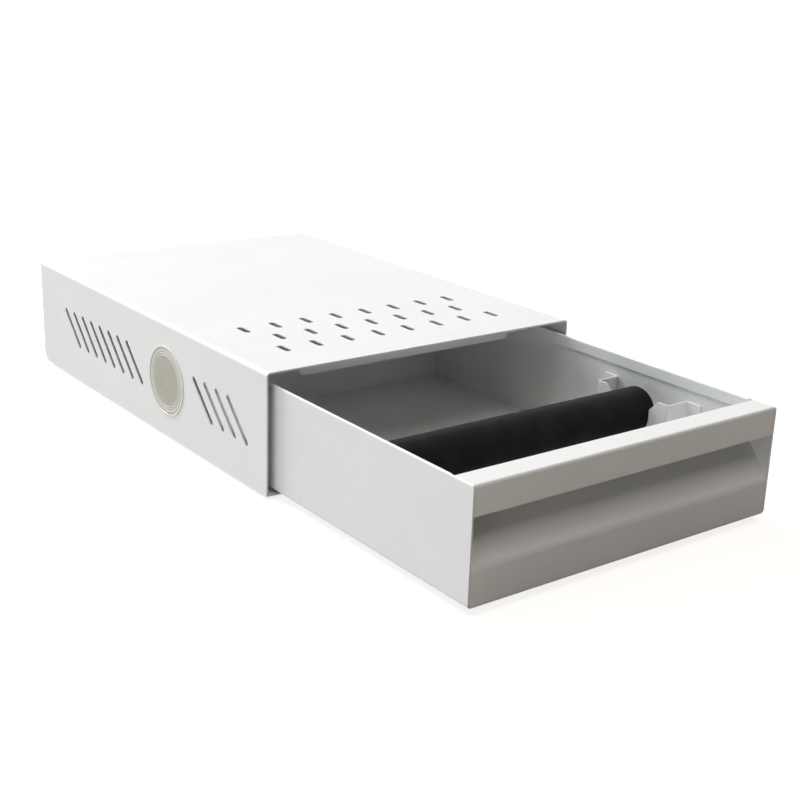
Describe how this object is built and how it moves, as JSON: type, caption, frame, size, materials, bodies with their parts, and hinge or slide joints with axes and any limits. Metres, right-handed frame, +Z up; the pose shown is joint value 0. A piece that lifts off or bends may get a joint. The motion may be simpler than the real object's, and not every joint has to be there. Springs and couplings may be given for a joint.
{
  "type": "coffee knock-out drawer",
  "caption": "Low white sheet-steel knock-out drawer for coffee grounds: a slotted open-front case and a pull-out drawer with a recessed finger pull and a lift-out rubber knock bar.",
  "frame": {"origin": "under the middle of the bounding box, on the surface that the feet stand on, with the drawer as far open as the picture shows it", "axes": "+Z up, +X to the right seen from the front, +Y to the rear; the drawer opens towards -Y"},
  "size_m": [0.2614, 0.5594, 0.087],
  "materials": {
    "case_coat": "satin white powder coat on folded sheet steel",
    "drawer_coat": "satin white powder coat on folded sheet steel",
    "badge_grey": "warm grey satin disc, unmarked",
    "glide_nylon": "natural nylon",
    "foot_rubber": "matt black rubber",
    "bar_rubber": "satin black rubber sleeve",
    "core_steel": "drawn steel tube",
    "plug_plastic": "black moulded plastic"
  },
  "bodies": {
    "case": {"case_shell": "case_coat", "back_panel": "case_coat", "drawer_stop": "case_coat", "badge_left": "badge_grey", "badge_right": "badge_grey", "glide_left": "glide_nylon", "glide_right": "glide_nylon", "guide_left": "glide_nylon", "guide_right": "glide_nylon", "bumper_left": "foot_rubber", "bumper_right": "foot_rubber", "foot_front_left": "foot_rubber", "foot_front_right": "foot_rubber", "foot_rear_left": "foot_rubber", "foot_rear_right": "foot_rubber"},
    "drawer": {"drawer_tray": "drawer_coat", "drawer_back": "drawer_coat", "drawer_front": "drawer_coat", "cradle_left": "drawer_coat", "cradle_right": "drawer_coat"},
    "bar": {"bar_sleeve": "bar_rubber", "bar_core": "core_steel", "bar_plug_left": "plug_plastic", "bar_plug_right": "plug_plastic"}
  },
  "joints": [
    {"name": "drawer_slide", "type": "slide", "parent": "case", "child": "drawer", "axis": [0, -1, 0], "range_m": [-0.1985, 0.123]},
    {"name": "bar_lift", "type": "slide", "parent": "drawer", "child": "bar", "axis": [0, 0, 1], "range_m": [0, 0.02]}
  ]
}
